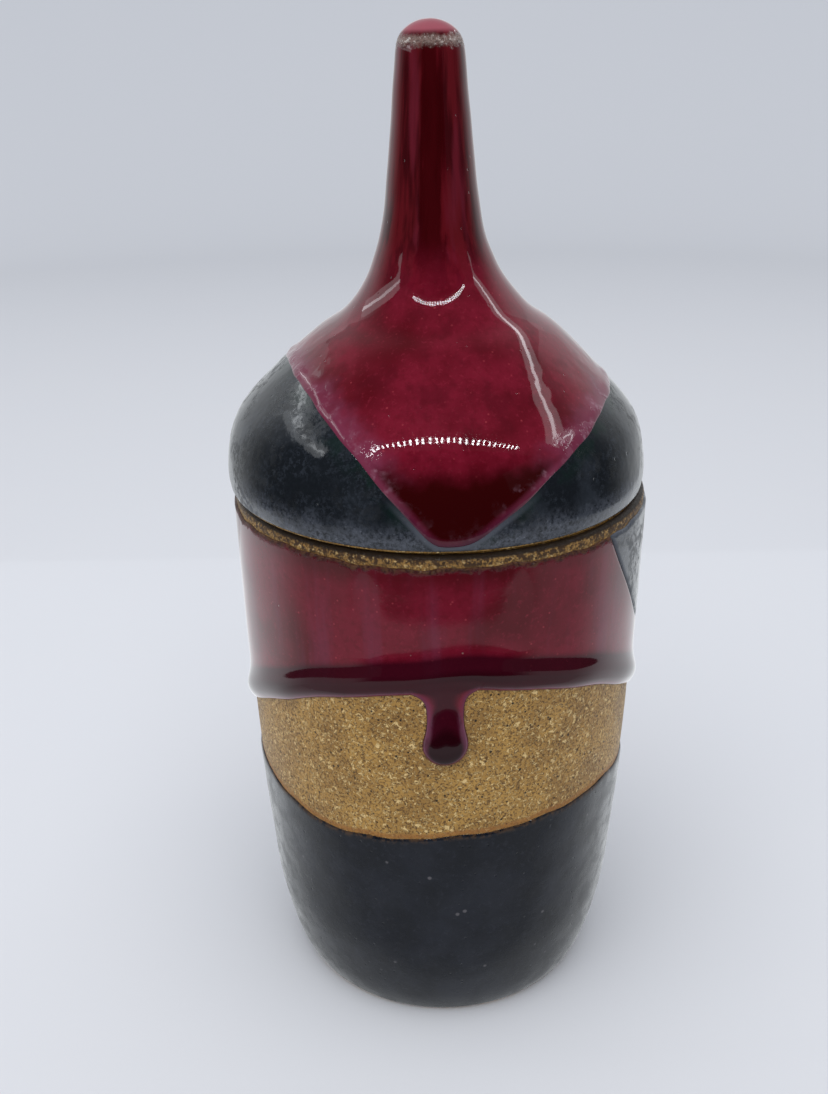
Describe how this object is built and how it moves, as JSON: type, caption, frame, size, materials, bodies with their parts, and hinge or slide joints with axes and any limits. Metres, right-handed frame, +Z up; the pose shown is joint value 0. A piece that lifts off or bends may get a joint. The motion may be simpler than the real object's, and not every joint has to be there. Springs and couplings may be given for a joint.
{
  "type": "lidded ceramic jar",
  "caption": "Cylindrical stoneware jar with a rounded foot and a lift-off domed lid that rises into a tall closed tapering finial, dip glazed over bare clay.",
  "frame": {"origin": "centre of the jar's foot, on the plane that it stands on", "axes": "+Z up along the jar's axis; -Y is the front, where the glaze drip hangs; +X is the viewer's right"},
  "size_m": [0.1028, 0.1027, 0.2398],
  "materials": {
    "jar_clay": "bare fired stoneware, golden brown with dark iron specks and pale grog, matt",
    "lid_clay": "bare fired stoneware, golden brown with dark iron specks, matt",
    "liner_glaze": "plain satin grey-brown liner glaze",
    "jar_red_glaze": "glossy deep oxblood glaze, violet where thick at the roll, with fine pits",
    "lid_red_glaze": "glossy deep oxblood glaze, streaked down the neck, pale and broken at the finial edge",
    "foot_black_glaze": "satin blue-black glaze with small pale spots and pits",
    "side_black_glaze": "satin blue-black glaze with small pale spots and pits",
    "lid_black_glaze": "glossy blue-black glaze with a frosted grey-blue band near the lid's edge and green tints"
  },
  "bodies": {
    "jar": {"jar_body": "jar_clay", "jar_liner_glaze": "liner_glaze", "jar_red_glaze": "jar_red_glaze", "jar_black_foot_glaze": "foot_black_glaze", "jar_black_side_glaze": "side_black_glaze"},
    "lid": {"lid_body": "lid_clay", "lid_liner_glaze": "liner_glaze", "lid_red_glaze": "lid_red_glaze", "lid_black_glaze": "lid_black_glaze"}
  },
  "joints": [
    {"name": "lid_lift", "type": "slide", "parent": "jar", "child": "lid", "axis": [0, 0, 1], "range_m": [0, 0.1]}
  ]
}
